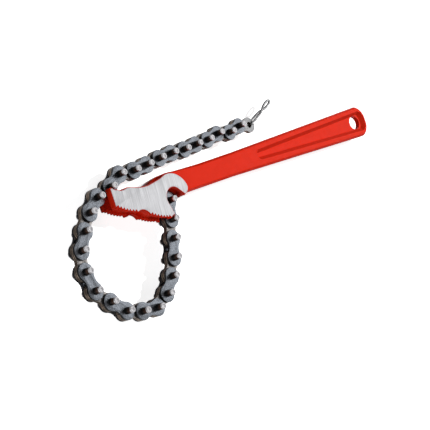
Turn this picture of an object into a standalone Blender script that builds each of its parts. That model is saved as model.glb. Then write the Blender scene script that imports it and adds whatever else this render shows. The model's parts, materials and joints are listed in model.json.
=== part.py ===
"""Chain pipe wrench of the 18 inch class: a forged handle with a forked, toothed head, and a
leaf chain that leaves the head at the hook, loops round the place of the pipe and locks behind
the horn. The free end of the chain carries a loop of wire.

The plan is drawn in the wrench's own frame: the axis of the anchor pin is the origin, +X runs
along the handle, +Z is the axis of every pin. At the end the whole wrench is moved so that the
middle of its underside is the world's origin.
"""

import math

import bmesh
import bpy
from mathutils import Matrix, Vector

# Chain, in metres. The pitch is the trade size of three quarters of an inch.
PITCH = 0.01905
PIN_RADIUS = 0.0031
PIN_LENGTH = 0.0250
PIN_CHAMFER = 0.0007
PIN_SIDES = 12
HOLE_CLEARANCE = 0.00028
LOBE_RADIUS = 0.0085
WAIST_HALF_WIDTH = 0.0060
INNER_PLATE = 0.0020
OUTER_PLATE = 0.0022
PLATE_GAP = 0.0003
LOBE_SEGMENTS = 7
WAIST_TURN = 14
SMOOTH_ANGLE = 40

# How the chain lies. The loop runs from the anchor pin to the pin behind the horn.
ANCHOR_HEADING = -109.3
LOOP_BENDS = (-2.5, -1.5, -13.5, -8.5, -20, -32.5, -11.5, -24.5, -5, -32.5, -20.5, -25, -4.5, -13, -20)
TAIL_HEADINGS = (28.5, -2.1, 5.0, 7.6, 4.3, -0.8, 4.3, 3.5, 9.8, -6.9, 11.4)
END_LINK_HEADING = -6.0

# Wire loop at the free end of the chain
WIRE_RADIUS = 0.0008
WIRE_LENGTH = 0.0540
WIRE_CROSSING = 0.0330
WIRE_EYE_HALF_WIDTH = 0.0024
WIRE_CORNER = 0.0016
WIRE_HEADING = 22.7
WIRE_SIDE_GAP = 0.0006
WIRE_POINTS_PER_LEG = 16
WIRE_SWAY = 1.35
WIRE_DROP = 1.5
WIRE_BULGE = 2.6
WIRE_CROWDING = 1.4

# Head of the forging
HEAD_THICKNESS = 0.0224
HEAD_ROUND = 0.0014
SLOT_CLEARANCE = 0.00035
SEAT = (-0.0676, 0.0297)
SEAT_CLEARANCE = 0.0008
HORN_ANGLE = 210
HORN_NOSE = 0.0005
SEAT_END_ANGLE = 276
TOP_CURVE = (
    (-0.0646, 0.0229),
    (-0.0610, 0.0223),
    (-0.0580, 0.0225),
    (-0.0549, 0.0231),
    (-0.0515, 0.0228),
    (-0.0405, 0.0201),
    (-0.0330, 0.0192),
    (-0.0260, 0.0193),
    (-0.0120, 0.0214),
)
HOOK_CENTRE = (0.0020, 0.0030)
HOOK_RADIUS = 0.0214
HOOK_START_ANGLE = 112
HOOK_END_ANGLE = 12
HOOK_TIP = (0.0169, 0.0016)
NOTCH_CENTRE = (0.0015, 0.0002)
NOTCH_RADIUS = 0.0120
NOTCH_START_ANGLE = 45
NOTCH_END_ANGLE = 188
BEAK_TIP = (-0.0073, -0.0133)
LEFT_END_X = -0.0738

# Jaws: two convex toothed lobes with a smooth scallop between them
JAW_RADIUS = 0.0595
LEFT_JAW_START = (-0.0744, 0.0109)
LEFT_JAW_END = (-0.0514, 0.0002)
RIGHT_JAW_START = (-0.0365, -0.0060)
RIGHT_JAW_END = (-0.0125, -0.0152)
SCALLOP_RADIUS = 0.0117
TEETH_PER_JAW = 7
TOOTH_DEPTH = 0.0018
WEB_RECESS = 0.0021

# Slots for the chain, milled between the two cheeks
HORN_SLOT_RADIUS = 0.0295
HORN_SLOT_SHIFT = (-0.0174, 0.0053)
HORN_SLOT_SEGMENTS = 30
ANCHOR_SLOT_MARGIN = 0.0010
ANCHOR_SLOT_START = 197
ANCHOR_SLOT_END = 300
EYE_RADIUS = 0.0065
EYE_NECK_HALF_WIDTH = 0.0048
EYE_NECK_ANGLE = 135
EYE_CLEARANCE = 0.0003

# Bar and grip of the forging
BAR_THICKNESS = 0.0120
BAR_ROUND = 0.0012
HUMP_START = (-0.0240, 0.0208)
HUMP_END = (0.0164, 0.0261)
HUMP_RADIUS = 0.0858
NECK_X = 0.0570
NECK_TOP = 0.0254
NECK_BOTTOM = 0.0015
FLARE_X = 0.1100
FLARE_TOP = 0.0262
HOOK_ROOT_X = 0.0250
HOOK_ROOT_TIP = (0.0136, -0.0006)
GRIP_END_X = 0.3743
GRIP_TOP = 0.0332
GRIP_BOTTOM = -0.0042
GRIP_CORNER = 0.0165
GRIP_CORNER_START = 88

# Recessed panel on both sides of the grip, and the hang hole
PANEL_DEPTH = 0.0024
PANEL_WALL = 0.0030
PANEL_START_X = 0.1480
PANEL_START_TOP = 0.0203
PANEL_START_BOTTOM = 0.0083
PANEL_END_BORDER = 0.0048
PANEL_EDGE_BORDER = 0.0064
PANEL_END_CORNER = 0.0100
PANEL_END_SLOPE = 0.0030
HANG_HOLE_SETBACK = 0.0228
HANG_HOLE_Y = 0.0146
HANG_HOLE_HALF_LENGTH = 0.0100
HANG_HOLE_HALF_WIDTH = 0.0084
HANG_HOLE_SEGMENTS = 20

WELD = 0.00001
CUT_MARGIN = 0.006


def polar(centre, radius, degrees):
    """The point at a distance and a direction from a centre."""
    angle = math.radians(degrees)
    return centre[0] + radius * math.cos(angle), centre[1] + radius * math.sin(angle)


def arc(centre, radius, start, end, segments):
    """Points along a circle, both ends included."""
    step = (end - start) / segments
    return [polar(centre, radius, start + step * index) for index in range(segments + 1)]


def centre_between(start, end, radius):
    """Centre of the circle through two points. A positive radius puts it on the left of the way."""
    a, b = Vector(start), Vector(end)
    half = (b - a) / 2
    rise = math.sqrt(radius * radius - half.length_squared)
    side = Vector((-half.y, half.x)).normalized() * math.copysign(rise, radius)
    return tuple(a + half + side)


def direction(centre, point):
    """The direction in degrees from a centre to a point."""
    return math.degrees(math.atan2(point[1] - centre[1], point[0] - centre[0]))


def arc_between(start, end, radius, segments, grow=0.0):
    """Arc through two points, or its parallel: a positive grow moves it away from the centre."""
    centre = centre_between(start, end, radius)
    first = direction(centre, start)
    sweep = (direction(centre, end) - first + 180) % 360 - 180
    return arc(centre, abs(radius) + grow, first, first + sweep, segments)


def material(name, colour, roughness, metallic):
    """Principled material of one colour."""
    made = bpy.data.materials.new(name)
    made.use_nodes = True
    shader = made.node_tree.nodes["Principled BSDF"]
    shader.inputs["Base Color"].default_value = (*colour, 1)
    shader.inputs["Roughness"].default_value = roughness
    shader.inputs["Metallic"].default_value = metallic
    made.diffuse_color = (*colour, 1)
    return made


def add_object(name, data, collection, parent=None):
    """New object in a collection, under a parent."""
    made = bpy.data.objects.new(name, data)
    collection.objects.link(made)
    made.parent = parent
    return made


def weld(mesh):
    """Joins the loose caps of a curve's mesh to its walls."""
    shape = bmesh.new()
    shape.from_mesh(mesh)
    bmesh.ops.remove_doubles(shape, verts=shape.verts, dist=WELD)
    bmesh.ops.recalc_face_normals(shape, faces=shape.faces)
    shape.to_mesh(mesh)
    shape.free()


def curve_mesh(curve):
    """Closed mesh of a curve."""
    holder = bpy.data.objects.new(curve.name, curve)
    bpy.context.scene.collection.objects.link(holder)
    bpy.context.view_layer.update()
    graph = bpy.context.evaluated_depsgraph_get()
    mesh = bpy.data.meshes.new_from_object(holder.evaluated_get(graph))
    bpy.data.objects.remove(holder)
    weld(mesh)
    mesh.name = curve.name
    return mesh


def flat_mesh(name, outlines, thickness, edge=0.0, grow=0.0, rings=1):
    """Extruded outline. An edge rounds the rims, which then stand inside the walls by its size."""
    curve = bpy.data.curves.new(name, "CURVE")
    curve.dimensions = "2D"
    curve.fill_mode = "BOTH"
    curve.extrude = thickness / 2 - edge
    curve.bevel_depth = edge
    curve.bevel_resolution = rings
    curve.offset = grow
    for outline in outlines:
        spline = curve.splines.new("POLY")
        spline.points.add(len(outline) - 1)
        for point, (x, y) in zip(spline.points, outline):
            point.co = (x, y, 0, 1)
        spline.use_cyclic_u = True
    return curve_mesh(curve)


def add_cutter(name, mesh, parent, height=0.0):
    """Hidden helper solid in the collection of cutters."""
    cutter = add_object(name, mesh, bpy.data.collections["cutters"], parent)
    cutter.location.z = height
    cutter.hide_render = True
    cutter.display_type = "WIRE"
    return cutter


def add_boolean(target, tool, operation):
    """Exact Boolean that stays on the object as a modifier."""
    modifier = target.modifiers.new(tool.name, "BOOLEAN")
    modifier.operation = operation
    modifier.solver = "EXACT"
    modifier.object = tool


def outer_plate_height():
    """Distance from the middle plane to the inner face of an outer plate."""
    return PLATE_GAP / 2 + INNER_PLATE + PLATE_GAP


def slot_width():
    """Width of the slots, which take the chain with a clearance on each side."""
    return 2 * (outer_plate_height() + OUTER_PLATE + SLOT_CLEARANCE)


def loop_end(heading, extra_bend):
    """Where the chain loop ends when it leaves the anchor pin in this direction."""
    x = y = 0.0
    x, y = polar((x, y), PITCH, heading)
    for bend in LOOP_BENDS:
        heading += bend + extra_bend
        x, y = polar((x, y), PITCH, heading)
    return x, y


def close_loop():
    """Small turn and extra bend that bring the end of the loop into the seat behind the horn."""
    heading, extra = ANCHOR_HEADING, 0.0
    step = 0.01
    for _ in range(12):
        x, y = loop_end(heading, extra)
        turned = loop_end(heading + step, extra)
        bent = loop_end(heading, extra + step)
        a, c = (turned[0] - x) / step, (turned[1] - y) / step
        b, d = (bent[0] - x) / step, (bent[1] - y) / step
        miss_x, miss_y = SEAT[0] - x, SEAT[1] - y
        scale = a * d - b * c
        heading += (d * miss_x - b * miss_y) / scale
        extra += (a * miss_y - c * miss_x) / scale
    return heading, extra


def link_headings():
    """Direction of every link, from the anchor pin to the end link."""
    heading, extra = close_loop()
    headings = [heading]
    for bend in LOOP_BENDS:
        headings.append(headings[-1] + bend + extra)
    return headings + list(TAIL_HEADINGS) + [END_LINK_HEADING]


def seat_radius():
    """Radius of the horn's seat on the face, where the rounded rim has its full width."""
    return PIN_RADIUS + SEAT_CLEARANCE + HEAD_ROUND


def jaw_outline(grow=0.0, segments=6):
    """Underside from the beak to the left end: right jaw, scallop, left jaw. It grows downwards."""
    right = arc_between(RIGHT_JAW_END, RIGHT_JAW_START, -JAW_RADIUS, segments, grow)
    scallop = arc_between(RIGHT_JAW_START, LEFT_JAW_END, SCALLOP_RADIUS, segments, -grow)
    left = arc_between(LEFT_JAW_END, LEFT_JAW_START, -JAW_RADIUS, segments, grow)
    return right + scallop[1:-1] + left


def head_outline():
    """Outline of the ground face: horn and seat, top, hook, notch, beak, jaws and left end."""
    hook = arc(HOOK_CENTRE, HOOK_RADIUS, HOOK_START_ANGLE, HOOK_END_ANGLE, 8)
    seat = arc(SEAT, seat_radius(), HORN_ANGLE, SEAT_END_ANGLE, 5)
    notch = arc(NOTCH_CENTRE, NOTCH_RADIUS, NOTCH_START_ANGLE, NOTCH_END_ANGLE, 11)
    nose_x = (seat[0][0] + LEFT_END_X) / 2
    nose = [(LEFT_END_X, seat[0][1]), (nose_x, seat[0][1] + HORN_NOSE / 2)]
    return seat + list(TOP_CURVE) + hook + [HOOK_TIP] + notch + [BEAK_TIP] + jaw_outline() + nose


def web_notch_radius():
    """Radius of the notch in the web of the hook, which clears the chain's lobes."""
    return LOBE_RADIUS + ANCHOR_SLOT_MARGIN


def bar_outline():
    """Outline of the bar: hump over the hook, straight neck, flared grip and round end."""
    hump = arc_between(HUMP_START, HUMP_END, -HUMP_RADIUS, 5)
    end_x = GRIP_END_X - GRIP_CORNER
    upper = arc((end_x, GRIP_TOP - GRIP_CORNER), GRIP_CORNER, GRIP_CORNER_START, 0, 6)
    lower = arc((end_x, GRIP_BOTTOM + GRIP_CORNER), GRIP_CORNER, 0, -GRIP_CORNER_START, 6)
    neck = [(NECK_X, NECK_TOP), (FLARE_X, FLARE_TOP)]
    belly = [(FLARE_X, NECK_BOTTOM), (HOOK_ROOT_X, NECK_BOTTOM)]
    notch = arc((0, 0), web_notch_radius(), 2, 178, 12)
    return hump + neck + upper + lower + belly + [HOOK_ROOT_TIP] + notch


def tooth_cutter_outline(start, end):
    """Area under a jaw, with the teeth as its upper edge."""
    centre = centre_between(start, end, -JAW_RADIUS)
    first = direction(centre, start)
    step = (direction(centre, end) - first) / TEETH_PER_JAW
    points = []
    for index in range(TEETH_PER_JAW):
        points.append(polar(centre, JAW_RADIUS, first + step * index))
        points.append(polar(centre, JAW_RADIUS - TOOTH_DEPTH, first + step * (index + 0.5)))
    points.append(polar(centre, JAW_RADIUS, first + step * TEETH_PER_JAW))
    outer = arc(centre, JAW_RADIUS + CUT_MARGIN, first + step * TEETH_PER_JAW, first, 4)
    return points + outer


def web_recess_outline():
    """Area under the smooth web between the toothed cheeks."""
    below = [(LEFT_JAW_START[0] - CUT_MARGIN, LEFT_JAW_START[1] - CUT_MARGIN)]
    below.append((LEFT_JAW_START[0], RIGHT_JAW_END[1] - CUT_MARGIN))
    below.append((RIGHT_JAW_END[0], RIGHT_JAW_END[1] - CUT_MARGIN))
    return jaw_outline(-WEB_RECESS) + below


def anchor_slot_outline():
    """Fan round the anchor pin in which the first links swing."""
    reach = PITCH + LOBE_RADIUS + ANCHOR_SLOT_MARGIN
    fan = arc((0, 0), reach, ANCHOR_SLOT_START, ANCHOR_SLOT_END, 9)
    return arc((0, 0), web_notch_radius(), ANCHOR_SLOT_END - 360, ANCHOR_SLOT_START, 16) + fan


def anchor_eye_outline():
    """Eye in the middle of the hook's web: a round end about the pin, and its neck."""
    side = math.degrees(math.asin(EYE_NECK_HALF_WIDTH / EYE_RADIUS))
    tip = arc((0, 0), EYE_RADIUS, EYE_NECK_ANGLE + side - 360, EYE_NECK_ANGLE - side, 12)
    root = web_notch_radius() + CUT_MARGIN / 3
    spread = math.degrees(math.asin(EYE_NECK_HALF_WIDTH / root))
    return tip + arc((0, 0), root, EYE_NECK_ANGLE - spread, EYE_NECK_ANGLE + spread, 2)


def hole_radius():
    """Corner radius of a pin hole, whose flats clear the corners of the pin."""
    return (PIN_RADIUS + HOLE_CLEARANCE) / math.cos(math.pi / PIN_SIDES)


def hole_outline(x):
    """Pin hole at a place along a link."""
    return arc((x, 0), hole_radius(), 0, 360, PIN_SIDES)[:-1]


def panel_outline():
    """Floor of the recessed panel. Its walls slope outwards by PANEL_WALL."""
    slope = (GRIP_TOP - FLARE_TOP) / (GRIP_END_X - GRIP_CORNER - FLARE_X)
    end_x = GRIP_END_X - PANEL_END_BORDER - PANEL_WALL
    top = GRIP_TOP - PANEL_EDGE_BORDER - PANEL_WALL
    bottom = GRIP_BOTTOM + PANEL_EDGE_BORDER + PANEL_WALL
    start_x = PANEL_START_X + PANEL_WALL
    start_top = PANEL_START_TOP - PANEL_WALL
    start_bottom = PANEL_START_BOTTOM + PANEL_WALL
    radius = (start_top - start_bottom) / 2
    middle = (start_x + radius, (start_top + start_bottom) / 2)
    corner = min(PANEL_END_CORNER - PANEL_WALL, (top - bottom) / 2)
    tilt = math.degrees(math.atan(slope))
    outline = arc(middle, radius, 270 - tilt, 90 + tilt, 6)
    outline += arc((end_x - corner, top - corner), corner, 90 + tilt, 0, 4)
    return outline + arc((end_x - corner, bottom + corner), corner, 0, -90 - tilt, 4)


def hang_hole_outline():
    """Oval of the hang hole."""
    middle = GRIP_END_X - HANG_HOLE_SETBACK
    circle = arc((0, 0), 1, 0, 360, HANG_HOLE_SEGMENTS)[:-1]
    return [(middle + HANG_HOLE_HALF_LENGTH * x, HANG_HOLE_Y + HANG_HOLE_HALF_WIDTH * y) for x, y in circle]


def panel_mesh(name):
    """Cutter for the panel: a plug whose ends taper over PANEL_DEPTH, most of all at the grip's end."""
    mesh = flat_mesh(name, [panel_outline()], 2 * (CUT_MARGIN + PANEL_WALL), edge=PANEL_WALL, rings=0)
    end_x = max(vertex.co.x for vertex in mesh.vertices) - PANEL_END_CORNER
    for vertex in mesh.vertices:
        if abs(vertex.co.z) > CUT_MARGIN + WELD:
            vertex.co.z = math.copysign(CUT_MARGIN + PANEL_DEPTH, vertex.co.z)
            past = max(0.0, vertex.co.x - end_x) / (PANEL_END_CORNER - PANEL_WALL)
            vertex.co.x -= PANEL_END_SLOPE * past
    return mesh


def build_handle(parts, frame):
    """The forging: head, bar and anchor eye, joined, then slotted, toothed and recessed."""
    head = flat_mesh("handle", [head_outline()], HEAD_THICKNESS, edge=HEAD_ROUND)
    handle = add_object("handle", head, parts, frame)
    handle.data.materials.append(material("red_enamel", (0.72, 0.035, 0.02), 0.32, 0.0))
    bar = flat_mesh("bar", [bar_outline()], BAR_THICKNESS, edge=BAR_ROUND, grow=-BAR_ROUND)
    add_boolean(handle, add_cutter("bar", bar, frame), "UNION")

    width = slot_width()
    fan = flat_mesh("anchor_slot", [anchor_slot_outline()], width)
    add_boolean(handle, add_cutter("anchor_slot", fan, frame), "DIFFERENCE")
    disc_centre = (SEAT[0] + HORN_SLOT_SHIFT[0], SEAT[1] + HORN_SLOT_SHIFT[1])
    disc_rim = arc(disc_centre, HORN_SLOT_RADIUS, 0, 360, HORN_SLOT_SEGMENTS)[:-1]
    disc = flat_mesh("horn_slot", [disc_rim], width)
    add_boolean(handle, add_cutter("horn_slot", disc, frame), "DIFFERENCE")
    web = flat_mesh("web_recess", [web_recess_outline()], width)
    add_boolean(handle, add_cutter("web_recess", web, frame), "DIFFERENCE")

    for name, start, end in (
        ("left_teeth", LEFT_JAW_END, LEFT_JAW_START),
        ("right_teeth", RIGHT_JAW_END, RIGHT_JAW_START),
    ):
        teeth = flat_mesh(name, [tooth_cutter_outline(start, end)], HEAD_THICKNESS + CUT_MARGIN)
        add_boolean(handle, add_cutter(name, teeth, frame), "DIFFERENCE")

    eye_width = 2 * (outer_plate_height() - EYE_CLEARANCE)
    eye = flat_mesh("anchor_eye", [anchor_eye_outline(), hole_outline(0)], eye_width)
    add_boolean(handle, add_cutter("anchor_eye", eye, frame), "UNION")

    for name, side in (("near_panel", 1), ("far_panel", -1)):
        height = side * (BAR_THICKNESS / 2 + CUT_MARGIN)
        add_boolean(handle, add_cutter(name, panel_mesh(name), frame, height), "DIFFERENCE")
    hole = flat_mesh("hang_hole", [hang_hole_outline()], BAR_THICKNESS + CUT_MARGIN)
    add_boolean(handle, add_cutter("hang_hole", hole, frame), "DIFFERENCE")
    return handle


def plate_outline():
    """Link plate shaped like a figure eight, lying along +X from one pin to the next."""
    turn = math.degrees(math.asin(min(1, WAIST_HALF_WIDTH / LOBE_RADIUS)))
    turn = min(turn + WAIST_TURN, 90)
    right = arc((PITCH, 0), LOBE_RADIUS, turn - 180, 180 - turn, LOBE_SEGMENTS)
    left = arc((0, 0), LOBE_RADIUS, turn, 360 - turn, LOBE_SEGMENTS)
    return right + [(PITCH / 2, WAIST_HALF_WIDTH)] + left + [(PITCH / 2, -WAIST_HALF_WIDTH)]


def plate_mesh(name, thickness, height, drilled=True):
    """Link plate with or without its two pin holes, its inner face at a height over the middle plane."""
    outlines = [plate_outline()]
    if drilled:
        outlines += [hole_outline(0), hole_outline(PITCH)]
    mesh = flat_mesh(name, outlines, thickness)
    for vertex in mesh.vertices:
        vertex.co.z += height + thickness / 2
    return mesh


def pinned_mesh(name, plate, pins):
    """One mesh of a plate and the pins that are riveted into it."""
    holder = add_object(name, plate, bpy.data.collections["cutters"])
    tools = [add_cutter(pin.name, pin, None) for pin in pins]
    for tool in tools:
        add_boolean(holder, tool, "UNION")
    bpy.context.view_layer.update()
    graph = bpy.context.evaluated_depsgraph_get()
    made = bpy.data.meshes.new_from_object(holder.evaluated_get(graph))
    made.name = name
    for helper in [holder, *tools]:
        bpy.data.objects.remove(helper)
    return made


def mirrored(name, mesh):
    """Copy of a mesh on the other side of the middle plane."""
    shape = bmesh.new()
    shape.from_mesh(mesh)
    for vertex in shape.verts:
        vertex.co.z = -vertex.co.z
    bmesh.ops.reverse_faces(shape, faces=shape.faces)
    made = bpy.data.meshes.new(name)
    shape.to_mesh(made)
    shape.free()
    return made


def pin_mesh(name, x):
    """Round pin with chamfered ends, at a place along a link."""
    shape = bmesh.new()
    bmesh.ops.create_cone(
        shape,
        cap_ends=True,
        segments=PIN_SIDES,
        radius1=PIN_RADIUS,
        radius2=PIN_RADIUS,
        depth=PIN_LENGTH,
    )
    bmesh.ops.rotate(shape, verts=shape.verts, matrix=Matrix.Rotation(math.pi / PIN_SIDES, 3, "Z"))
    rims = [edge for edge in shape.edges if abs(edge.verts[0].co.z - edge.verts[1].co.z) < WELD]
    bmesh.ops.bevel(shape, geom=rims, offset=PIN_CHAMFER, segments=1, affect="EDGES")
    bmesh.ops.translate(shape, verts=shape.verts, vec=(x, 0, 0))
    made = bpy.data.meshes.new(name)
    shape.to_mesh(made)
    shape.free()
    return made


def add_pivot(name, parent, x, heading):
    """Empty on a joint's axis, at a distance along its parent, turned to its own link."""
    pivot = add_object(name, None, bpy.data.collections["chain_pipe_wrench"], parent)
    pivot.location.x = x
    pivot.rotation_euler.z = math.radians(heading)
    pivot.empty_display_size = PIN_RADIUS
    return pivot


def build_chain(parts, frame):
    """Outer and inner links in turn, each under an empty on its own pivot."""
    outer = plate_mesh("outer_plate", OUTER_PLATE, outer_plate_height())
    blank = plate_mesh("outer_blank", OUTER_PLATE, outer_plate_height(), drilled=False)
    pinned = pinned_mesh("pinned_plate", blank, [pin_mesh("pin", 0), pin_mesh("next_pin", PITCH)])
    inner = plate_mesh("inner_plate", INNER_PLATE, PLATE_GAP / 2)
    pinned.shade_smooth()
    pinned.set_sharp_from_angle(angle=math.radians(SMOOTH_ANGLE))
    far_outer = mirrored("far_outer_plate", outer)
    far_inner = mirrored("far_inner_plate", inner)
    outer_steel = material("outer_plate_steel", (0.24, 0.27, 0.33), 0.38, 0.9)
    inner_steel = material("inner_plate_steel", (0.30, 0.25, 0.20), 0.42, 0.9)
    end_steel = material("end_link_steel", (0.55, 0.56, 0.58), 0.35, 0.9)
    end_near, end_far = inner.copy(), far_inner.copy()
    for mesh in (pinned, far_outer):
        mesh.materials.append(outer_steel)
    for mesh in (inner, far_inner):
        mesh.materials.append(inner_steel)
    for mesh in (end_near, end_far):
        mesh.materials.append(end_steel)

    headings = link_headings()
    pivot, last_heading = frame, 0.0
    for index, heading in enumerate(headings):
        number = index + 1
        reach = PITCH if index else 0.0
        pivot = add_pivot(f"pivot_{number:02d}", pivot, reach, heading - last_heading)
        last_heading = heading
        if number == len(headings):
            add_object("end_link_near_plate", end_near, parts, pivot)
            add_object("end_link_far_plate", end_far, parts, pivot)
        elif number % 2:
            add_object(f"outer_link_{number:02d}_pinned_plate", pinned, parts, pivot)
            add_object(f"outer_link_{number:02d}_far_plate", far_outer, parts, pivot)
        else:
            add_object(f"inner_link_{number:02d}_near_plate", inner, parts, pivot)
            add_object(f"inner_link_{number:02d}_far_plate", far_inner, parts, pivot)
    return pivot


def leg_height():
    """Distance of the wire's legs from the middle plane, beside the end link."""
    return PLATE_GAP / 2 + INNER_PLATE + WIRE_SIDE_GAP + WIRE_RADIUS


def leg_point(share):
    """Point of the near leg, from the side of the end link to the tip of the eye."""
    x = WIRE_CORNER + (WIRE_LENGTH - WIRE_RADIUS - WIRE_CORNER) * share
    if x < WIRE_CROSSING:
        z = leg_height() * math.cos(math.pi / 2 * (x / WIRE_CROSSING) ** WIRE_DROP)
    else:
        along = (x - WIRE_CROSSING) / (WIRE_LENGTH - WIRE_RADIUS - WIRE_CROSSING)
        z = -WIRE_EYE_HALF_WIDTH * WIRE_BULGE * along * math.sqrt(max(0.0, 1 - along))
    y = WIRE_RADIUS * WIRE_SWAY * math.sin(math.pi * share)
    return x, y, z


def wire_route():
    """Closed centre line: through the hole, along the near leg, round the eye and back."""
    height = leg_height()
    chamfer = WIRE_CORNER / 3
    near = [(0.0, 0.0, 0.0), (0.0, 0.0, height - WIRE_CORNER), (chamfer, 0.0, height - chamfer)]
    for index in range(WIRE_POINTS_PER_LEG):
        share = index / WIRE_POINTS_PER_LEG
        near.append(leg_point(1 - (1 - share) ** WIRE_CROWDING))
    tip = [(WIRE_LENGTH - WIRE_RADIUS, 0.0, 0.0)]
    far = [(x, -y, -z) for x, y, z in reversed(near[1:])]
    return near + tip + far


def build_wire(parts, end_pivot):
    """Loop of wire that hangs in the free hole of the end link."""
    rest = PIN_RADIUS + HOLE_CLEARANCE - WIRE_RADIUS - PLATE_GAP
    turn = WIRE_HEADING - END_LINK_HEADING
    pivot = add_pivot("wire_pivot", end_pivot, PITCH + rest, turn)
    curve = bpy.data.curves.new("wire_loop", "CURVE")
    curve.dimensions = "3D"
    curve.bevel_depth = WIRE_RADIUS
    curve.bevel_resolution = 2
    curve.use_fill_caps = True
    route = wire_route()
    spline = curve.splines.new("POLY")
    spline.points.add(len(route) - 1)
    for point, place in zip(spline.points, route):
        point.co = (*place, 1)
    spline.use_cyclic_u = True
    curve.materials.append(material("bright_wire", (0.62, 0.62, 0.64), 0.25, 1.0))
    return add_object("wire_loop", curve, parts, pivot)


def centre_on_floor(parts, frame):
    """Moves the whole wrench so that the middle of its underside is the origin."""
    bpy.context.view_layer.update()
    graph = bpy.context.evaluated_depsgraph_get()
    corners = []
    for node in parts.objects:
        if node.type == "EMPTY":
            continue
        evaluated = node.evaluated_get(graph)
        mesh = evaluated.to_mesh()
        corners += [evaluated.matrix_world @ vertex.co for vertex in mesh.vertices]
        evaluated.to_mesh_clear()
    low = [min(corner[axis] for corner in corners) for axis in range(3)]
    high = [max(corner[axis] for corner in corners) for axis in range(3)]
    frame.location = (-(low[0] + high[0]) / 2, -(low[1] + high[1]) / 2, -low[2])
    bpy.context.view_layer.update()


def main():
    for old in list(bpy.data.objects):
        bpy.data.objects.remove(old)
    parts = bpy.data.collections.new("chain_pipe_wrench")
    cutters = bpy.data.collections.new("cutters")
    bpy.context.scene.collection.children.link(parts)
    bpy.context.scene.collection.children.link(cutters)
    frame = add_object("wrench", None, parts)
    build_handle(parts, frame)
    end_pivot = build_chain(parts, frame)
    build_wire(parts, end_pivot)
    centre_on_floor(parts, frame)


if __name__ == "__main__":
    main()
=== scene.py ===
"""Looks of a chain pipe wrench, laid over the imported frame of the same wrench.

Every piece is drawn in the frame of the wrench at rest: metres, +X along the handle, +Z along
the pins. The forging's own plan has its origin on the axis of the anchor pin.
"""

import json
import math

import bpy
from bpy.props import FloatProperty, FloatVectorProperty, IntProperty, PointerProperty
from mathutils import Matrix, Vector


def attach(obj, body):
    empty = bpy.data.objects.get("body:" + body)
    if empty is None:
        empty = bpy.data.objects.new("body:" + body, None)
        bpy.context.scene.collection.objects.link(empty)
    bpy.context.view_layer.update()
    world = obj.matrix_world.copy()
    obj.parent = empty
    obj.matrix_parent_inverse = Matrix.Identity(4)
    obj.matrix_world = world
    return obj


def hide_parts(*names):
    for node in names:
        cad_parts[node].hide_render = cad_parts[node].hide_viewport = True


bl_info = {
    "name": "Chain Pipe Wrench",
    "version": (1, 0, 0),
    "blender": (4, 5, 0),
    "location": "View3D > Sidebar > Chain Wrench",
    "description": "Forging, chain, wire loop and studio of a chain pipe wrench",
    "category": "Add Mesh",
}

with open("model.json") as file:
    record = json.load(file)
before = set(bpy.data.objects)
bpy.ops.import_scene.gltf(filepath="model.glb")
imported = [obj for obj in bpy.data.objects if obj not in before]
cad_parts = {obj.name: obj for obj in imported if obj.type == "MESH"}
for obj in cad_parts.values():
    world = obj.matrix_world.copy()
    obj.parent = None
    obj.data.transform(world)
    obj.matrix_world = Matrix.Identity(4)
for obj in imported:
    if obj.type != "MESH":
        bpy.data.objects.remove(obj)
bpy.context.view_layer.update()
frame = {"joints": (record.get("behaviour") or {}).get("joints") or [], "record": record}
JOINTS = {joint["name"]: joint for joint in frame["joints"]}
BODY_OF = {
    node: body
    for body, nodes in frame["record"]["behaviour"]["bodies"].items()
    for node in nodes
}
ANCHOR = Vector(JOINTS["pivot_01"]["pos_m"])
LINKS = 28

# Plan of the forging's head, from the anchor pin
SEAT = (-0.0676, 0.0297)
SEAT_RADIUS = 0.00545
HORN_ANGLE = 210
HORN_NOSE = 0.0005
SEAT_END_ANGLE = 276
TOP_CURVE = (
    (-0.0646, 0.0229),
    (-0.0610, 0.0223),
    (-0.0580, 0.0225),
    (-0.0549, 0.0231),
    (-0.0515, 0.0228),
    (-0.0405, 0.0201),
    (-0.0330, 0.0192),
    (-0.0260, 0.0193),
    (-0.0120, 0.0214),
)
HOOK_CENTRE = (0.0020, 0.0030)
HOOK_RADIUS = 0.0214
HOOK_ANGLES = (112, 18)
HOOK_END = ((0.0225, 0.0070), (0.0207, 0.0036), (0.0169, 0.0016))
NOTCH_CENTRE = (0.0015, 0.0002)
NOTCH_RADIUS = 0.0120
NOTCH_ANGLES = (45, 188)
BEAK_TIP = (-0.0073, -0.0133)
LEFT_END_X = -0.0738
JAW_RADIUS = 0.0595
LEFT_JAW = ((-0.0514, 0.0002), (-0.0744, 0.0109))
RIGHT_JAW = ((-0.0125, -0.0152), (-0.0365, -0.0060))
SCALLOP_RADIUS = 0.0117
HORN_SLOT_CENTRE = (-0.0850, 0.0350)
HORN_SLOT_RADIUS = 0.0299
ANCHOR_SLOT_ANGLES = (197, 300)

# Plan of the bar and grip
HUMP = ((-0.0240, 0.0208), (0.0164, 0.0261))
HUMP_RADIUS = 0.0858
NECK = ((0.0570, 0.0254), (0.1100, 0.0262))
BELLY = ((0.1100, 0.0015), (0.0250, 0.0015), (0.0136, -0.0006))
GRIP_END_X = 0.3743
GRIP_TOP = 0.0332
GRIP_BOTTOM = -0.0042
GRIP_CORNER = 0.0165
PANEL_START = (0.1480, 0.0203, 0.0083)
PANEL_BORDERS = (0.0048, 0.0064)
PANEL_CORNER = 0.0100
PANEL_END_SLOPE = 0.0026
HANG_HOLE_SETBACK = 0.0228
HANG_HOLE_Y = 0.0146
HOLE_POINTS = 64
# Past here the bar has its full rounding, and before it the web's
BAR_START_X = 0.0240
BAR_PROFILE = 0.32

# Places along one pitch of the teeth: off the tip, at the root, off the root, at the next tip
TOOTH_PLACES = ((0.04, 0), (0.46, 1), (0.54, 1), (0.96, 0))
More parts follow.
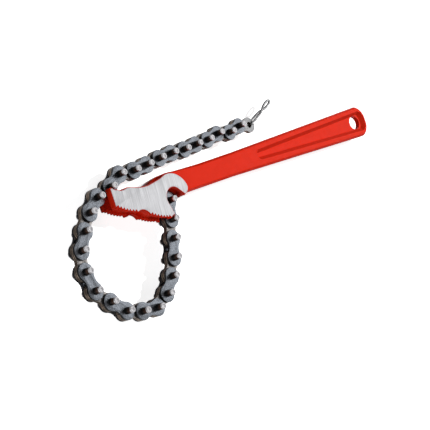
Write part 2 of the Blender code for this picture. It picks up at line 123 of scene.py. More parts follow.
# Play round the chain's first lobe, and the eye that holds the anchor pin
NOTCH_PLAY = 0.0010
EYE_RADIUS = 0.0065
EYE_NECK = 0.0048
EYE_WAY = 135
# Steps of a pin's end from its rim inwards: inset, and rise of what is inside it
PIN_END_STEPS = ((0.0010, 0.00004), (0.0002, -0.00006), (0.0006, -0.00025))

# Wire loop: turn at rest and lean of the eye, in degrees
WIRE_TURN = 22.7
LEG_LEAN = 24.0
# Height of a leg where it crosses the other one, in radii of the wire
LEG_LIFT = 1.2
# Powers that move the eye's widest place, and crowd a leg's points, towards the tip
EYE_SKEW = 0.8
CROWDING = 1.6
# Makes the eye's curve reach its half width at its widest place
EYE_FULLNESS = 2.38
LEG_POINTS = 48

# Place and size of each light, and the point that all of them face
KEY_LIGHT = ((5.0, 0.8, 4.6), 0.3)
MIRROR_PANEL = ((1.0, 0.0, 0.88), 1.1)
FILL_LIGHT = ((-1.05, -0.35, 0.30), 0.5)
LIT_POINT = (0, 0, 0.01)
FLOOR_SIZE = 12
FLOOR_Z = -0.0002

# Points nearer than this are one point, and cutters stand past what they cut by the margin
WELD = 0.00001
MARGIN = 0.006
# Two faces at less than this angle are one, and a normal above this share looks straight up
FLAT_ANGLE = 0.05
FLAT_NORMAL = 0.999
# Angles up to which a piece is shaded smooth
FORGING_SMOOTH = 32
PLATE_SMOOTH = 40
WIRE_SMOOTH = 50


# Plans


def polar(centre, radius, degrees):
    """The point at a distance and a direction from a centre."""
    angle = math.radians(degrees)
    return centre[0] + radius * math.cos(angle), centre[1] + radius * math.sin(angle)


def smooth(share):
    """Eases a share from 0 to 1 in and out."""
    return share * share * (3 - 2 * share)


def arc(centre, radius, start, end, segments):
    """Points along a circle, both ends included."""
    step = (end - start) / segments
    return [polar(centre, radius, start + step * index) for index in range(segments + 1)]


def centre_between(start, end, radius):
    """Centre of the circle through two points. A positive radius puts it on the left."""
    a, b = Vector(start), Vector(end)
    half = (b - a) / 2
    rise = math.sqrt(radius * radius - half.length_squared)
    side = Vector((-half.y, half.x)).normalized() * math.copysign(rise, radius)
    return tuple(a + half + side)


def direction(centre, point):
    """The direction in degrees from a centre to a point."""
    return math.degrees(math.atan2(point[1] - centre[1], point[0] - centre[0]))


def arc_between(start, end, radius, segments, grow=0.0):
    """Arc through two points, or its parallel: a positive grow moves it away from the centre."""
    centre = centre_between(start, end, radius)
    first = direction(centre, start)
    sweep = (direction(centre, end) - first + 180) % 360 - 180
    return arc(centre, abs(radius) + grow, first, first + sweep, segments)


def smooth_line(points, steps):
    """Smooth curve through points, both ends included."""
    ends = [Vector(point) for point in (points[0], *points, points[-1])]
    line = []
    for before, start, end, after in zip(ends, ends[1:], ends[2:], ends[3:]):
        for index in range(steps):
            share = index / steps
            pull = (end - before) * share + (2 * before - 5 * start + 4 * end - after) * share**2
            pull += (3 * start - before - 3 * end + after) * share**3
            line.append(tuple(start + pull / 2))
    return line + [tuple(ends[-1])]


def jaws_plan(grow=0.0):
    """Underside from the beak to the left end: right jaw, scallop, left jaw."""
    right = arc_between(*RIGHT_JAW, -JAW_RADIUS, 16, grow)
    scallop = arc_between(RIGHT_JAW[1], LEFT_JAW[0], SCALLOP_RADIUS, 20, -grow)
    left = arc_between(*LEFT_JAW, -JAW_RADIUS, 16, grow)
    return right + scallop[1:-1] + left


def head_plan():
    """Outline of the ground face: seat, top, hook, notch, beak, jaws and horn."""
    hook = arc(HOOK_CENTRE, HOOK_RADIUS, *HOOK_ANGLES, 36)
    seat = arc(SEAT, SEAT_RADIUS, HORN_ANGLE, SEAT_END_ANGLE, 12)
    top = smooth_line([seat[-1], *TOP_CURVE, hook[0]], 6)
    hook_end = smooth_line([hook[-1], *HOOK_END], 4)
    notch = arc(NOTCH_CENTRE, NOTCH_RADIUS, *NOTCH_ANGLES, 36)
    nose_x = (seat[0][0] + LEFT_END_X) / 2
    nose = [(LEFT_END_X, seat[0][1]), (nose_x, seat[0][1] + HORN_NOSE / 2)]
    return seat + top[1:-1] + hook + hook_end[1:] + notch + [BEAK_TIP] + jaws_plan() + nose


def bar_plan(notch_radius):
    """Outline of the bar: hump over the hook, straight neck, flared grip and round end."""
    hump = arc_between(*HUMP, -HUMP_RADIUS, 16)
    end_x = GRIP_END_X - GRIP_CORNER
    upper = arc((end_x, GRIP_TOP - GRIP_CORNER), GRIP_CORNER, 88, 0, 24)
    lower = arc((end_x, GRIP_BOTTOM + GRIP_CORNER), GRIP_CORNER, 0, -88, 24)
    notch = arc((0, 0), notch_radius, 2, 178, 36)
    return hump + list(NECK) + upper + lower + list(BELLY) + notch


def teeth_plan(start, end, teeth, depth):
    """Area under a jaw, with its teeth as the upper edge."""
    centre = centre_between(start, end, -JAW_RADIUS)
    first = direction(centre, end)
    step = (direction(centre, start) - first) / teeth
    points = []
    for index in range(teeth):
        for share, deep in TOOTH_PLACES:
            points.append(polar(centre, JAW_RADIUS - depth * deep, first + step * (index + share)))
    outer = arc(centre, JAW_RADIUS + MARGIN, first + step * teeth, first, 6)
    return points + outer


def web_plan(recess):
    """Area under the smooth web between the toothed cheeks."""
    left, right = LEFT_JAW[1], RIGHT_JAW[0]
    below = [(left[0] - MARGIN, left[1] - MARGIN), (left[0], right[1] - MARGIN)]
    return jaws_plan(-recess) + below + [(right[0], right[1] - MARGIN)]


def panel_plan(wall):
    """Floor of the recessed panel, whose walls then slope outwards."""
    slope = (GRIP_TOP - NECK[1][1]) / (GRIP_END_X - GRIP_CORNER - NECK[1][0])
    end_x = GRIP_END_X - PANEL_BORDERS[0] - wall
    top = GRIP_TOP - PANEL_BORDERS[1] - wall
    bottom = GRIP_BOTTOM + PANEL_BORDERS[1] + wall
    start_top, start_bottom = PANEL_START[1] - wall, PANEL_START[2] + wall
    radius = (start_top - start_bottom) / 2
    middle = (PANEL_START[0] + wall + radius, (start_top + start_bottom) / 2)
    corner = PANEL_CORNER - wall
    tilt = math.degrees(math.atan(slope))
    outline = arc(middle, radius, 270 - tilt, 90 + tilt, 14)
    outline += arc((end_x - corner, top - corner), corner, 90 + tilt, 0, 12)
    return outline + arc((end_x - corner, bottom + corner), corner, 0, -90 - tilt, 12)


def plate_plan(pitch, radius, waist):
    """Figure eight: two round lobes and two hollow sides that run tangent into them."""
    hollow = (radius * radius - pitch * pitch / 4 - waist * waist) / (2 * (waist - radius))
    middle = pitch / 2
    turn = math.degrees(math.atan2(waist + hollow, middle))
    right = arc((pitch, 0), radius, turn - 180, 180 - turn, 32)
    left = arc((0, 0), radius, turn, 360 - turn, 32)
    above = arc((middle, waist + hollow), hollow, -turn, turn - 180, 8)
    below = arc((middle, -waist - hollow), hollow, 180 - turn, turn, 8)
    return right + above[1:-1] + left + below[1:-1]


# Modelling


def pick(*objects):
    """Selects these objects alone, and makes the first active."""
    bpy.ops.object.select_all(action="DESELECT")
    for item in objects:
        item.select_set(True)
    bpy.context.view_layer.objects.active = objects[0]


def clean_up(piece):
    """Merges a piece's doubles and turns its faces outwards."""
    pick(piece)
    bpy.ops.object.mode_set(mode="EDIT")
    bpy.ops.mesh.select_all(action="SELECT")
    bpy.ops.mesh.remove_doubles(threshold=WELD)
    bpy.ops.mesh.normals_make_consistent(inside=False)
    bpy.ops.object.mode_set(mode="OBJECT")


def cut_out(name, plans, thickness, rim=0.0, rings=3):
    """Solid of a flat plan with rounded rims. Its walls stand outside the plan by the rim."""
    curve = bpy.data.curves.new(name, "CURVE")
    curve.dimensions = "2D"
    curve.fill_mode = "BOTH"
    curve.extrude = thickness / 2 - rim
    curve.bevel_depth = rim
    curve.bevel_resolution = rings
    for plan in plans:
        spline = curve.splines.new("POLY")
        spline.points.add(len(plan) - 1)
        for point, (x, y) in zip(spline.points, plan):
            point.co = (x, y, 0, 1)
        spline.use_cyclic_u = True
    piece = bpy.data.objects.new(name, curve)
    bpy.context.scene.collection.objects.link(piece)
    pick(piece)
    bpy.ops.object.convert(target="MESH")
    piece = bpy.context.view_layer.objects.active
    clean_up(piece)
    return piece


def boolean(piece, tool, operation):
    """Cuts or joins a tool into a piece, and removes the tool."""
    pick(piece)
    bpy.ops.object.modifier_add(type="BOOLEAN")
    step = piece.modifiers[-1]
    step.operation = operation
    step.solver = "EXACT"
    step.object = tool
    bpy.ops.object.modifier_apply(modifier=step.name)
    bpy.data.objects.remove(tool)


def soften(piece, spots, width, segments):
    """Bevels the edges that lie flat over these spots of the plan."""
    pick(piece)
    bpy.ops.object.mode_set(mode="EDIT")
    bpy.ops.mesh.select_mode(type="EDGE")
    bpy.ops.mesh.select_all(action="DESELECT")
    bpy.ops.object.mode_set(mode="OBJECT")
    vertices = piece.data.vertices
    found = {
        vertex.index
        for vertex in vertices
        if any(
            (round(vertex.co.x / WELD) + x, round(vertex.co.y / WELD) + y) in spots
            for x in (-1, 0, 1)
            for y in (-1, 0, 1)
        )
    }
    for edge in piece.data.edges:
        a, b = edge.vertices
        flat = abs(vertices[a].co.z - vertices[b].co.z) < WELD
        edge.select = flat and a in found and b in found
    bpy.ops.object.mode_set(mode="EDIT")
    bpy.ops.mesh.bevel(offset=width, segments=segments, clamp_overlap=True)
    bpy.ops.object.mode_set(mode="OBJECT")


def round_bar(bar, settings):
    """Rounds the bar's rims, widely along the handle and less at the hook's web."""
    pick(bar)
    bpy.ops.object.mode_set(mode="EDIT")
    bpy.ops.mesh.select_all(action="SELECT")
    bpy.ops.mesh.dissolve_limited(angle_limit=math.radians(FLAT_ANGLE))
    bpy.ops.object.mode_set(mode="OBJECT")
    mesh = bar.data
    weights = mesh.attributes.new("bevel_weight_edge", "FLOAT", "EDGE")
    for edge in mesh.edges:
        a, b = (mesh.vertices[index].co for index in edge.vertices)
        if abs(a.z - b.z) < WELD:
            along_bar = min(a.x, b.x) > BAR_START_X
            weights.data[edge.index].value = 1.0 if along_bar else settings.web_share
    bpy.ops.object.modifier_add(type="BEVEL")
    rounding = bar.modifiers[-1]
    rounding.limit_method = "WEIGHT"
    rounding.width = settings.bar_round
    rounding.segments = 5
    rounding.profile = BAR_PROFILE
    rounding.use_clamp_overlap = False
    bpy.ops.object.modifier_apply(modifier=rounding.name)
    clean_up(bar)


def place(piece, matrix):
    """Puts a piece at its place with the place in its mesh."""
    piece.data.transform(matrix)
    piece.matrix_world = Matrix.Identity(4)


def shade(piece, degrees):
    """Smooth shading up to an angle."""
    pick(piece)
    bpy.ops.object.shade_smooth_by_angle(angle=math.radians(degrees))


def hand_over(piece, nodes):
    """Ties a piece to its frame nodes and their body."""
    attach(piece, BODY_OF[nodes[0]])
    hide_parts(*nodes)


# Materials

# Where a noise passes from one side of its mask to the other
BLOTCH_STEP = (0.35, 0.65)
LINE_STEP = (0.3, 0.7)
# Scale of the broad bands between brushed lines, as a share of the lines' own
BAND_SCALE = 0.22
# Upward part of a normal where walls end, before the softness is taken off, and faces begin
FACE_STEP = (0.92, 0.95)
# Depths under the ground faces at which bare steel begins and is full
GROUND_STEP = (0.00022, 0.00004)
# Direction of the grinding lines, in degrees
GRIND_TURN = 97
# Lengths from a pin's end at which its bright cap begins and is full
CAP_STEP = (0.0017, 0.0013)
# Height over the middle plane at which a pin turns to its painted brown reflection, and length from
# its end at which it is full
BROWN_STEP = (0.0058, 0.0020)


def group(name, inputs, outputs):
    """New node group with its two end nodes. An input with no value is a vector."""
    tree = bpy.data.node_groups.new(name, "ShaderNodeTree")
    for label, value in inputs.items():
        kind = "NodeSocketVector" if value is None else "NodeSocketFloat"
        socket = tree.interface.new_socket(label, in_out="INPUT", socket_type=kind)
        if value is not None:
            socket.default_value = value
    for label in outputs:
        tree.interface.new_socket(label, in_out="OUTPUT", socket_type="NodeSocketFloat")
    return tree, tree.nodes.new("NodeGroupInput"), tree.nodes.new("NodeGroupOutput")


def node(tree, kind, links=None, **values):
    """New node with its settings, and links or values for its inputs."""
    made = tree.nodes.new(kind)
    for key, value in values.items():
        setattr(made, key, value)
    for key, value in (links or {}).items():
        feed(tree, made.inputs[key], value)
    return made


def feed(tree, socket, value):
    """Links a node's output to a socket, or sets the socket's own value."""
    if isinstance(value, bpy.types.NodeSocket):
        tree.links.new(value, socket)
    else:
        socket.default_value = value


def smooth_step(tree, value, low, high, start=0.0, end=1.0):
    """Smooth change of a value between two limits."""
    made = node(
        tree,
        "ShaderNodeMapRange",
        {"Value": value, "From Min": low, "From Max": high, "To Min": start, "To Max": end},
        interpolation_type="SMOOTHSTEP",
    )
    return made.outputs["Result"]


def between(tree, mask, start, end):
    """Value that goes from start to end with a mask."""
    return smooth_step(tree, mask, 0.0, 1.0, start, end)


def mixed(tree, factor, first, second):
    """Mix of two colours."""
    made = node(tree, "ShaderNodeMix", data_type="RGBA")
    feed(tree, made.inputs[0], factor)
    for index, value in ((6, first), (7, second)):
        linked = isinstance(value, bpy.types.NodeSocket)
        feed(tree, made.inputs[index], value if linked else (*value, 1))
    return made.outputs[2]


def arithmetic(tree, operation, first, second=0.0):
    """One step of arithmetic."""
    return node(tree, "ShaderNodeMath", {0: first, 1: second}, operation=operation).outputs[0]


def noise(tree, place_in, scale, detail):
    """Plain noise over a place."""
    links = {"Vector": place_in, "Scale": scale, "Detail": detail}
    return node(tree, "ShaderNodeTexNoise", links).outputs["Fac"]


def tinted(base, share):
    """A colour made darker or paler."""
    return tuple(min(1.0, channel * share) for channel in base)


def speckle_group():
    """Uneven grain of a tumbled or cast surface, coarse blotches with fine grit."""
    tree, start, end = group(
        "surface_speckle",
        {"Vector": None, "Blotch Scale": 200.0, "Grit Scale": 1200.0},
        ["Blotches", "Grit"],
    )
    place_in = start.outputs["Vector"]
    coarse = noise(tree, place_in, start.outputs["Blotch Scale"], 4.0)
    fine = noise(tree, place_in, start.outputs["Grit Scale"], 3.0)
    tree.links.new(smooth_step(tree, coarse, *BLOTCH_STEP), end.inputs["Blotches"])
    tree.links.new(smooth_step(tree, fine, *BLOTCH_STEP), end.inputs["Grit"])
    return tree


def brush_group():
    """Fine parallel scratches of a ground surface, along one direction."""
    tree, start, end = group(
        "brushed_lines",
        {"Vector": None, "Turn": 0.0, "Fineness": 900.0, "Length": 0.04},
        ["Lines", "Bands"],
    )
    turned = node(
        tree,
        "ShaderNodeVectorRotate",
        {"Vector": start.outputs["Vector"], "Angle": start.outputs["Turn"]},
        rotation_type="Z_AXIS",
    )
    stretch = node(tree, "ShaderNodeCombineXYZ", {"X": start.outputs["Length"], "Y": 1.0, "Z": 1.0})
    drawn = node(
        tree,
        "ShaderNodeVectorMath",
        {0: turned.outputs["Vector"], 1: stretch.outputs[0]},
        operation="MULTIPLY",
    ).outputs[0]
    fineness = start.outputs["Fineness"]
    fine = noise(tree, drawn, fineness, 3.0)
    broad = noise(tree, drawn, arithmetic(tree, "MULTIPLY", fineness, BAND_SCALE), 2.0)
    tree.links.new(smooth_step(tree, fine, *LINE_STEP), end.inputs["Lines"])
    tree.links.new(smooth_step(tree, broad, *BLOTCH_STEP), end.inputs["Bands"])
    return tree


def height_group():
    """Distance of a point from the wrench's middle plane, softened into a mask."""
    tree, start, end = group(
        "height_mask",
        {"Vector": None, "Middle": 0.0125, "Low": 0.0, "High": 0.01},
        ["Mask"],
    )
    parts = node(tree, "ShaderNodeSeparateXYZ", {0: start.outputs["Vector"]})
    offset = arithmetic(tree, "SUBTRACT", parts.outputs["Z"], start.outputs["Middle"])
    away = arithmetic(tree, "ABSOLUTE", offset)
    mask = smooth_step(tree, away, start.outputs["Low"], start.outputs["High"])
    tree.links.new(mask, end.inputs["Mask"])
    return tree


def facing_group():
    """How squarely a surface faces along the pins, which tells faces from walls."""
    tree, start, end = group("face_mask", {"Normal": None, "Softness": 0.2}, ["Face"])
    parts = node(tree, "ShaderNodeSeparateXYZ", {0: start.outputs["Normal"]})
    upright = arithmetic(tree, "ABSOLUTE", parts.outputs["Z"])
    low = arithmetic(tree, "SUBTRACT", FACE_STEP[0], start.outputs["Softness"])
    tree.links.new(smooth_step(tree, upright, low, FACE_STEP[1]), end.inputs["Face"])
    return tree


GROUP_MAKERS = {
    "speckle": speckle_group,
    "brush": brush_group,
    "height": height_group,
    "facing": facing_group,
}
GROUPS = {}


def use_group(tree, name, links):
    """Places one of the shared groups in a material, and makes it at its first use."""
    if name not in GROUPS:
        GROUPS[name] = GROUP_MAKERS[name]()
    return node(tree, "ShaderNodeGroup", links, node_tree=GROUPS[name])


def speckles(tree, coordinates, blotch_scale, grit_scale):
    """The speckle group over an object's own coordinates."""
    place_in = coordinates.outputs["Object"]
    links = {"Vector": place_in, "Blotch Scale": blotch_scale, "Grit Scale": grit_scale}
    return use_group(tree, "speckle", links)


def height_mask(tree, coordinates, low, high):
    """Mask of the points farther from the middle plane than two heights."""
    place_in = coordinates.outputs["Object"]
    links = {"Vector": place_in, "Middle": ANCHOR.z, "Low": low, "High": high}
    return use_group(tree, "height", links).outputs["Mask"]


def face_mask(tree, coordinates, softness):
    """Mask of the faces that look along the pins."""
    links = {"Normal": coordinates.outputs["Normal"], "Softness": softness}
    return use_group(tree, "facing", links).outputs["Face"]


def new_material(name):
    """Empty Principled material, its tree, its shader and the object's own coordinates."""
    made = bpy.data.materials.new(name)
    made.use_nodes = True
    tree = made.node_tree
    shader = tree.nodes["Principled BSDF"]
    coordinates = tree.nodes.new("ShaderNodeTexCoord")
    return made, tree, shader, coordinates


def add_bump(tree, shader, height, depth):
    """Small relief from a height."""
    bump = node(tree, "ShaderNodeBump", {"Height": height, "Distance": depth, "Strength": 1.0})
    tree.links.new(bump.outputs["Normal"], shader.inputs["Normal"])


def forging_material(settings):
    """Gloss enamel over a forging, with the head's two faces ground to bright steel."""
    made, tree, shader, coordinates = new_material("enamelled_forging")
    speckle = speckles(tree, coordinates, blotch_scale=90.0, grit_scale=700.0)
    low, high = (settings.head_thickness / 2 - depth for depth in GROUND_STEP)
    ground = height_mask(tree, coordinates, low, high)
    brush = use_group(
        tree,
        "brush",
        {
            "Vector": coordinates.outputs["Object"],
            "Turn": math.radians(GRIND_TURN),
            "Fineness": 1100.0,
            "Length": 0.03,
        },
    )
    lines = brush.outputs["Lines"]
    red = settings.enamel_colour
    enamel = mixed(tree, speckle.outputs["Blotches"], tinted(red, 0.95), red)
    # Painted shade: enamel on walls and rounded edges, which do not face along the pins, is
    # darkened to three quarters
    enamel = mixed(tree, face_mask(tree, coordinates, softness=0.12), tinted(red, 0.74), enamel)
    steel = settings.ground_colour
    worn = tinted(steel, 0.80)
    lined = mixed(tree, lines, worn, steel)
    banded = mixed(tree, arithmetic(tree, "MULTIPLY", brush.outputs["Bands"], 0.35), lined, worn)
    tree.links.new(mixed(tree, ground, enamel, banded), shader.inputs["Base Color"])
    tree.links.new(between(tree, ground, 0.0, 0.9), shader.inputs["Metallic"])
    shader.inputs["Specular IOR Level"].default_value = 0.08
    gloss = between(tree, speckle.outputs["Grit"], 0.30, 0.38)
    matt = between(tree, lines, 0.50, 0.36)
    rough = node(tree, "ShaderNodeMix", {0: ground, 2: gloss, 3: matt}, data_type="FLOAT")
    tree.links.new(rough.outputs[0], shader.inputs["Roughness"])
    heights = {0: ground, 2: speckle.outputs["Blotches"], 3: lines}
    relief = node(tree, "ShaderNodeMix", heights, data_type="FLOAT")
    add_bump(tree, shader, relief.outputs[0], depth=0.00006)
    return made


def plate_material(name, face, wall):
    """Steel link plate: speckled faces and darker walls, which on the outer plates are near-black
    painted shade.
    """
    made, tree, shader, coordinates = new_material(name)
    speckle = speckles(tree, coordinates, blotch_scale=260.0, grit_scale=1100.0)
    blotches, grit = speckle.outputs["Blotches"], speckle.outputs["Grit"]
    flat = mixed(tree, blotches, tinted(face, 0.72), face)
    flat = mixed(tree, arithmetic(tree, "MULTIPLY", grit, 0.5), flat, tinted(face, 1.7))
    side = mixed(tree, blotches, tinted(wall, 0.55), wall)
    # Walls take the wall colour: near-black painted shade on the outer plates, and the plates' own
    # brown on the inner and end links
    colours = mixed(tree, face_mask(tree, coordinates, softness=0.25), side, flat)
    tree.links.new(colours, shader.inputs["Base Color"])
    shader.inputs["Metallic"].default_value = 0.9
    tree.links.new(between(tree, grit, 0.26, 0.18), shader.inputs["Roughness"])
    add_bump(tree, shader, grit, depth=0.00005)
    return made


def pin_material(settings):
    """Shafts painted near black as shade next to the plates, turning to a painted brown reflection
    towards their bright, chamfered ends.
    """
    made, tree, shader, coordinates = new_material("pins_with_painted_shade")
    half = settings.pin_length / 2
    cap = height_mask(tree, coordinates, half - CAP_STEP[0], half - CAP_STEP[1])
    brown = height_mask(tree, coordinates, BROWN_STEP[0], half - BROWN_STEP[1])
    speckle = speckles(tree, coordinates, blotch_scale=320.0, grit_scale=1500.0)
    blotches, grit = speckle.outputs["Blotches"], speckle.outputs["Grit"]
    shaft_shade, bright = settings.shaft_shade_colour, settings.pin_end_colour
    # Painted shade, near black, next to the plates turns to a painted brown reflection towards the
    # ends
    shaft = mixed(tree, brown, shaft_shade, settings.shaft_reflection_colour)
    shaft = mixed(tree, arithmetic(tree, "MULTIPLY", blotches, 0.5), shaft, shaft_shade)
    ends = mixed(tree, grit, tinted(bright, 0.8), bright)
    tree.links.new(mixed(tree, cap, shaft, ends), shader.inputs["Base Color"])
    tree.links.new(between(tree, cap, 0.3, 0.7), shader.inputs["Metallic"])
    shader.inputs["Specular IOR Level"].default_value = 0.25
    tree.links.new(between(tree, grit, 0.26, 0.40), shader.inputs["Roughness"])
    add_bump(tree, shader, grit, depth=0.00003)
    return made


def wire_material(settings):
    """Bright drawn wire, with painted dark reflections in blotches and painted shade on its sides.
    """
    made, tree, shader, coordinates = new_material("bright_wire")
    speckle = speckles(tree, coordinates, blotch_scale=220.0, grit_scale=1600.0)
    bright, grit = settings.wire_colour, speckle.outputs["Grit"]
    # Painted dark reflections: blotches darken the wire to under half; painted shade: sides that do
    # not face along the pins go near black
    upper = mixed(tree, speckle.outputs["Blotches"], tinted(bright, 0.45), bright)
    colours = mixed(tree, face_mask(tree, coordinates, softness=0.5), tinted(bright, 0.1), upper)
    tree.links.new(colours, shader.inputs["Base Color"])
    shader.inputs["Metallic"].default_value = 1.0
    tree.links.new(between(tree, grit, 0.12, 0.2), shader.inputs["Roughness"])
    add_bump(tree, shader, grit, depth=0.00002)
    return made


# Chain


def link_matrix(number):
    """Where a link lies: its own pin at the origin, the next one along +X."""
    start = Vector(JOINTS[f"pivot_{number:02d}"]["pos_m"])
    name = f"pivot_{number + 1:02d}" if number < LINKS else "wire_pivot"
    way = Vector(JOINTS[name]["pos_m"]) - start
    turn = Matrix.Rotation(math.atan2(way.y, way.x), 4, "Z")
    return Matrix.Translation((start.x, start.y, 0)) @ turn


def link_pitch():
    """Distance between two neighbouring pins."""
    first, second = (Vector(JOINTS[name]["pos_m"]) for name in ("pivot_01", "pivot_02"))
    return (second - first).length


def plate_pair(settings, low, high, steel):
    """Near and far plate of a link, between two heights over the middle plane."""
    pitch, rim = link_pitch(), settings.plate_rim
    bore = settings.pin_radius + settings.hole_clearance + rim
    plans = [plate_plan(pitch, settings.lobe_radius - rim, settings.plate_waist - rim)]
    plans += [arc((x, 0), bore, 0, 360, 40)[:-1] for x in (0, pitch)]
    pair = []
    for side in (1, -1):
        piece = cut_out("plate", plans, high - low, rim, rings=2)
        place(piece, Matrix.Translation((0, 0, ANCHOR.z + side * (low + high) / 2)))
        piece.data.materials.append(steel)
        pair.append(piece)
    return pair


def pin(name, settings, x):
    """Round pin with chamfered, slightly domed ends and a centre mark in each."""
    length = settings.pin_length
    bpy.ops.object.select_all(action="DESELECT")
    bpy.ops.mesh.primitive_cylinder_add(
        vertices=40, radius=settings.pin_radius, depth=length, location=(x, 0, ANCHOR.z)
    )
    piece = bpy.context.view_layer.objects.active
    piece.name = name
    place(piece, Matrix.Translation((x, 0, ANCHOR.z)))
    for side in (1, -1):
        edit_end(piece, side)
        bpy.ops.mesh.bevel(offset=settings.pin_chamfer, segments=3, profile=0.55)
        edit_end(piece, side)
        for inset, rise in PIN_END_STEPS:
            bpy.ops.mesh.inset(thickness=inset)
            bpy.ops.transform.translate(value=(0, 0, side * rise))
        bpy.ops.object.mode_set(mode="OBJECT")
    return piece


def edit_end(piece, side):
    """Opens a pin for editing with only the flat face of one end selected."""
    if bpy.context.mode != "OBJECT":
        bpy.ops.object.mode_set(mode="OBJECT")
    pick(piece)
    bpy.ops.object.mode_set(mode="EDIT")
    bpy.ops.mesh.select_mode(type="FACE")
    bpy.ops.mesh.select_all(action="DESELECT")
    bpy.ops.object.mode_set(mode="OBJECT")
    for face in piece.data.polygons:
        face.select = face.normal.z * side > FLAT_NORMAL
    bpy.ops.object.mode_set(mode="EDIT")


def copies(master, count):
    """The master and enough copies of it, each with its own mesh."""
    made = [master]
    for _ in range(count - 1):
        twin = master.copy()
        twin.data = master.data.copy()
        bpy.context.scene.collection.objects.link(twin)
        made.append(twin)
    return made


def plate_heights(settings):
    """Inner and outer faces of the inner and outer plates, over the middle plane."""
    inner_low = settings.plate_gap / 2
    inner_high = inner_low + settings.inner_plate
    outer_low = inner_high + settings.plate_gap
    return inner_low, inner_high, outer_low, outer_low + settings.outer_plate


def lay_links(masters, numbers):
    """Lays copies of the master plates along the chain, each over its own frame node."""
    for suffix, master in masters:
        for piece, number in zip(copies(master, len(numbers)), numbers):
            kind = "end_link" if number == LINKS else "outer_link" if number % 2 else "inner_link"
            label = kind if number == LINKS else f"{kind}_{number:02d}"
            piece.name = f"shown_{label}_{suffix}"
            piece.data.name = piece.name
            place(piece, link_matrix(number))
            hand_over(piece, [f"{label}_{suffix}"])


# Settings


def length(name, description, default):
    """A length in metres that the user can change."""
    return FloatProperty(
        name=name, description=description, default=default, min=0, unit="LENGTH", precision=5
    )


def colour(name, description, default):
    """A colour that the user can change."""
    return FloatVectorProperty(
        name=name, description=description, default=default, size=3, subtype="COLOR", min=0, max=1
    )


class WrenchForgingSettings(bpy.types.PropertyGroup):
    """Sizes and colours of the forging."""

    head_thickness: length("Head thickness", "Over the two ground faces", 0.0224)
    head_round: length("Head edge", "Rounding of the head's edges", 0.0014)
    bar_thickness: length("Bar thickness", "Over the bar's two flat faces", 0.0120)
    bar_round: length("Bar edge", "Rounding of the bar's edges", 0.0027)
    web_share: FloatProperty(
        name="Web share", description="Rounding of the hook's web, of the bar's", default=0.5, min=0
    )
    slot_width: length("Slot width", "Between the two cheeks", 0.0099)
    tooth_depth: length("Tooth depth", "Depth of the jaws' teeth", 0.0018)
    web_recess: length("Web recess", "From the jaws to the web between them", 0.0021)
    panel_depth: length("Panel depth", "Depth of the grip's panel", 0.0034)
    panel_wall: length("Panel wall", "Run of the panel's sloping wall", 0.0036)
    panel_rim: length("Panel rim", "Softening of the panel's edges", 0.0010)
    hole_rim: length("Hole rim", "Softening of the hang hole's edges", 0.0007)
    hole_half_length: length("Hole half length", "Along the handle", 0.0100)
    hole_half_width: length("Hole half width", "Across the handle", 0.0084)
    teeth: IntProperty(name="Teeth", description="Teeth on each jaw", default=7, min=3)
    enamel_colour: colour("Enamel", "Gloss red enamel", (0.86, 0.026, 0.006))
    ground_colour: colour("Ground steel", "Head's ground faces", (0.74, 0.74, 0.76))


class WrenchChainSettings(bpy.types.PropertyGroup):
    """Sizes and colours of the chain."""

    lobe_radius: length("Lobe radius", "Round ends of a plate", 0.0085)
    plate_waist: length("Waist", "Half the width of a plate's waist", 0.0060)
    plate_rim: length("Plate rim", "Rounding of a plate's rims", 0.0003)
    inner_plate: length("Inner plate", "Thickness of an inner plate", 0.0020)
    outer_plate: length("Outer plate", "Thickness of an outer plate", 0.0022)
    plate_gap: length("Plate gap", "Gap between two plates", 0.0003)
    hole_clearance: length("Hole clearance", "Between a pin and its hole", 0.0001)
    pin_radius: length("Pin radius", "Radius of a pin", 0.0031)
    pin_length: length("Pin length", "Length of a pin", 0.0250)
    pin_chamfer: length("Pin chamfer", "Chamfer of a pin's ends", 0.0004)
    outer_colour: colour("Outer faces", "Faces of the outer plates", (0.20, 0.216, 0.242))
    inner_colour: colour("Inner faces", "Faces of the inner plates", (0.30, 0.28, 0.27))
    end_colour: colour("End link", "Faces of the end link", (0.29, 0.29, 0.295))
    # The outer walls' near black is painted shade
    outer_wall_shade_colour: colour("Outer walls", "Shaded walls of outer plates", (0.022, 0.022, 0.024))
    inner_wall_colour: colour("Inner walls", "Brown walls of inner plates", (0.23, 0.175, 0.135))
    # Painted shade on the shafts next to the plates, and a painted brown reflection towards their
    # ends
    shaft_shade_colour: colour("Shaded shaft", "Pins next to the plates", (0.005, 0.004, 0.0035))
    shaft_reflection_colour: colour("Brown shaft", "Pins towards their ends", (0.065, 0.03, 0.018))
    pin_end_colour: colour("Pin ends", "Bright ends of the pins", (0.66, 0.65, 0.67))


class WrenchWireSettings(bpy.types.PropertyGroup):
    """Sizes and colour of the wire loop."""

    wire_radius: length("Wire radius", "Radius of the wire", 0.0013)
    loop_length: length("Loop length", "From the link's hole to the tip of the eye", 0.0540)
    crossing: length("Crossing", "Where the two legs cross", 0.0330)
    eye_half_width: length("Eye half width", "Half the width of the eye", 0.0019)
    corner: length("Corner", "Bend at the link's sides", 0.0016)
    side_gap: length("Side gap", "Between a leg and the link's side", 0.0003)
    wire_colour: colour("Wire", "Bright drawn wire", (0.66, 0.67, 0.68))


